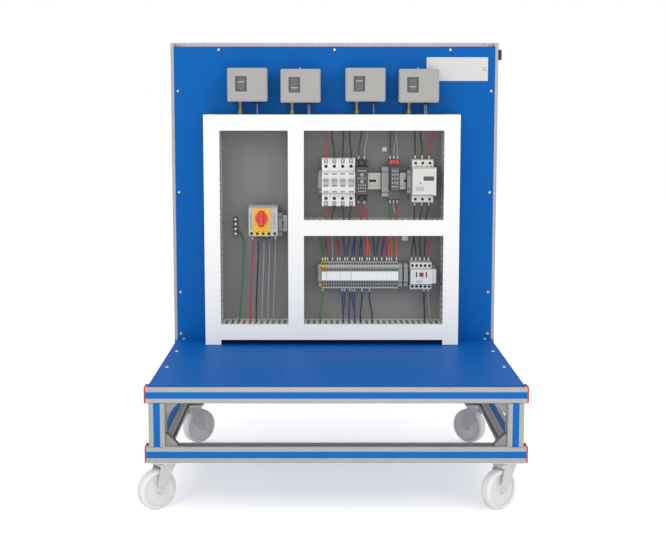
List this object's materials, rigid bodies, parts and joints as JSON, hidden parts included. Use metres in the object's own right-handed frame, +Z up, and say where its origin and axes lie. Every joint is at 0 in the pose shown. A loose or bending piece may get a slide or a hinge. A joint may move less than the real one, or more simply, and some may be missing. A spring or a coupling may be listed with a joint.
{
  "type": "electrical training stand",
  "caption": "Wheeled stand of slotted aluminium profile with a blue shelf and back panel carrying pressure switches and a ducted control cabinet with breakers, contactor and terminals.",
  "frame": {"origin": "middle of the footprint, on the floor", "axes": "+X to the viewer's right, +Y from the shelf's front edge to the back panel, +Z up"},
  "size_m": [0.7261, 0.5002, 0.875],
  "materials": {
    "blue_sheet": "powder coat",
    "aluminium": "anodised",
    "blue_strip": "extruded",
    "red_cap": "moulded",
    "cast_bracket": "die cast",
    "black_catch": "moulded",
    "zinc": "zinc plated",
    "wheel": "translucent",
    "duct_white": "extruded",
    "lid_white": "extruded",
    "backplate": "powder coat",
    "rail_steel": "zinc plated",
    "breaker_grey": "moulded",
    "toggle_grey": "moulded",
    "switch_grey": "moulded",
    "yellow": "moulded",
    "handle_red": "moulded",
    "timer_black": "moulded",
    "relay_dark": "moulded",
    "starter_grey": "moulded",
    "contactor_grey": "moulded",
    "plunger_grey": "moulded",
    "terminal_grey": "moulded",
    "terminal_green": "moulded",
    "marker_white": "moulded",
    "clamp_grey": "moulded",
    "bar_brass": "plated",
    "housing_steel": "pressed",
    "cover_grey": "moulded",
    "scale_dark": "printed",
    "fitting_brass": "machined",
    "gland_black": "moulded",
    "spindle_steel": "turned",
    "plate_grey": "brushed",
    "screw_steel": "plated",
    "lead_green": "extruded",
    "lead_red": "extruded",
    "lead_black": "extruded",
    "lead_grey": "extruded",
    "lead_blue": "extruded",
    "lead_orange": "extruded",
    "ferrule_white": "moulded"
  },
  "bodies": {
    "frame": {"back_frame_profiles": "aluminium", "back_panel": "blue_sheet", "base_legs": "aluminium", "base_rails": "aluminium", "black_leads": "lead_black", "blue_leads": "lead_blue", "breaker_bodies": "breaker_grey", "button_head_screws": "screw_steel", "cabinet_backplate": "backplate", "caster_plates": "zinc", "contactor": "contactor_grey", "control_relay": "relay_dark", "device_rails": "rail_steel", "duct_lids": "lid_white", "earth_bar": "bar_brass", "earth_terminals": "terminal_green", "end_clamps": "clamp_grey", "frame_brackets": "cast_bracket", "green_leads": "lead_green", "grey_leads": "lead_grey", "lead_ferrules": "ferrule_white", "main_switch_body": "switch_grey", "main_switch_faceplate": "yellow", "marker_strips": "marker_white", "motor_starter": "starter_grey", "name_plate": "plate_grey", "orange_leads": "lead_orange", "pressure_switch_covers": "cover_grey", "pressure_switch_fittings": "fitting_brass", "pressure_switch_glands": "gland_black", "pressure_switch_housings": "housing_steel", "pressure_switch_scales": "scale_dark", "rail_end_caps": "red_cap", "red_leads": "lead_red", "shelf_panel": "blue_sheet", "slot_strips": "blue_strip", "terminal_blocks": "terminal_grey", "timer_relay": "timer_black", "upright_catch": "black_catch", "wiring_ducts": "duct_white"},
    "front_left_fork": {"front_left_caster_fork": "zinc", "front_left_caster_axle": "zinc"},
    "front_left_wheel": {"front_left_caster_wheel": "wheel"},
    "front_right_fork": {"front_right_caster_fork": "zinc", "front_right_caster_axle": "zinc"},
    "front_right_wheel": {"front_right_caster_wheel": "wheel"},
    "rear_left_fork": {"rear_left_caster_fork": "zinc", "rear_left_caster_axle": "zinc"},
    "rear_left_wheel": {"rear_left_caster_wheel": "wheel"},
    "rear_right_fork": {"rear_right_caster_fork": "zinc", "rear_right_caster_axle": "zinc"},
    "rear_right_wheel": {"rear_right_caster_wheel": "wheel"},
    "breaker_1_toggle": {"breaker_toggle_1": "toggle_grey"},
    "breaker_2_toggle": {"breaker_toggle_2": "toggle_grey"},
    "breaker_3_toggle": {"breaker_toggle_3": "toggle_grey"},
    "breaker_4_toggle": {"breaker_toggle_4": "toggle_grey"},
    "switch_handle": {"main_switch_handle": "handle_red"},
    "plunger": {"contactor_plunger": "plunger_grey"},
    "spindle_1": {"setting_spindle_1": "spindle_steel"},
    "spindle_2": {"setting_spindle_2": "spindle_steel"}
  },
  "joints": [
    {"name": "front_left_swivel", "type": "hinge", "parent": "frame", "child": "front_left_fork", "pos_m": [-0.316, -0.206, 0.087], "axis": [0, 0, 1], "continuous": true},
    {"name": "front_left_roll", "type": "hinge", "parent": "front_left_fork", "child": "front_left_wheel", "pos_m": [-0.33176, -0.21831, 0.0375], "axis": [-0.6157, 0.788, 0], "continuous": true},
    {"name": "front_right_swivel", "type": "hinge", "parent": "frame", "child": "front_right_fork", "pos_m": [0.316, -0.206, 0.087], "axis": [0, 0, 1], "continuous": true},
    {"name": "front_right_roll", "type": "hinge", "parent": "front_right_fork", "child": "front_right_wheel", "pos_m": [0.30024, -0.21831, 0.0375], "axis": [-0.6157, 0.788, 0], "continuous": true},
    {"name": "rear_left_swivel", "type": "hinge", "parent": "frame", "child": "rear_left_fork", "pos_m": [-0.316, 0.206, 0.087], "axis": [0, 0, 1], "continuous": true},
    {"name": "rear_left_roll", "type": "hinge", "parent": "rear_left_fork", "child": "rear_left_wheel", "pos_m": [-0.30024, 0.21831, 0.0375], "axis": [0.6157, -0.788, 0], "continuous": true},
    {"name": "rear_right_swivel", "type": "hinge", "parent": "frame", "child": "rear_right_fork", "pos_m": [0.316, 0.206, 0.087], "axis": [0, 0, 1], "continuous": true},
    {"name": "rear_right_roll", "type": "hinge", "parent": "rear_right_fork", "child": "rear_right_wheel", "pos_m": [0.30024, 0.21831, 0.0375], "axis": [0.6157, 0.788, 0], "continuous": true},
    {"name": "breaker_1_toggle_tilt", "type": "hinge", "parent": "frame", "child": "breaker_1_toggle", "pos_m": [-0.0182, 0.1405, 0.581], "axis": [1, 0, 0], "range_deg": [0, 76]},
    {"name": "breaker_2_toggle_tilt", "type": "hinge", "parent": "frame", "child": "breaker_2_toggle", "pos_m": [-0.0006, 0.1405, 0.581], "axis": [1, 0, 0], "range_deg": [0, 76]},
    {"name": "breaker_3_toggle_tilt", "type": "hinge", "parent": "frame", "child": "breaker_3_toggle", "pos_m": [0.017, 0.1405, 0.581], "axis": [1, 0, 0], "range_deg": [0, 76]},
    {"name": "breaker_4_toggle_tilt", "type": "hinge", "parent": "frame", "child": "breaker_4_toggle", "pos_m": [0.0346, 0.1405, 0.581], "axis": [1, 0, 0], "range_deg": [0, 76]},
    {"name": "main_switch_turn", "type": "hinge", "parent": "frame", "child": "switch_handle", "pos_m": [-0.154, 0.138, 0.506], "axis": [0, 1, 0], "range_deg": [0, 90]},
    {"name": "contactor_plunger_press", "type": "slide", "parent": "frame", "child": "plunger", "axis": [0, 1, 0], "range_m": [0, 0.003], "stiffness_N_per_m": 400},
    {"name": "setting_spindle_1_turn", "type": "hinge", "parent": "frame", "child": "spindle_1", "pos_m": [-0.073, 0.171, 0.8182], "axis": [0, 0, 1], "range_deg": [-360, 360]},
    {"name": "setting_spindle_2_turn", "type": "hinge", "parent": "frame", "child": "spindle_2", "pos_m": [0.175, 0.171, 0.8182], "axis": [0, 0, 1], "range_deg": [-360, 360]}
  ]
}
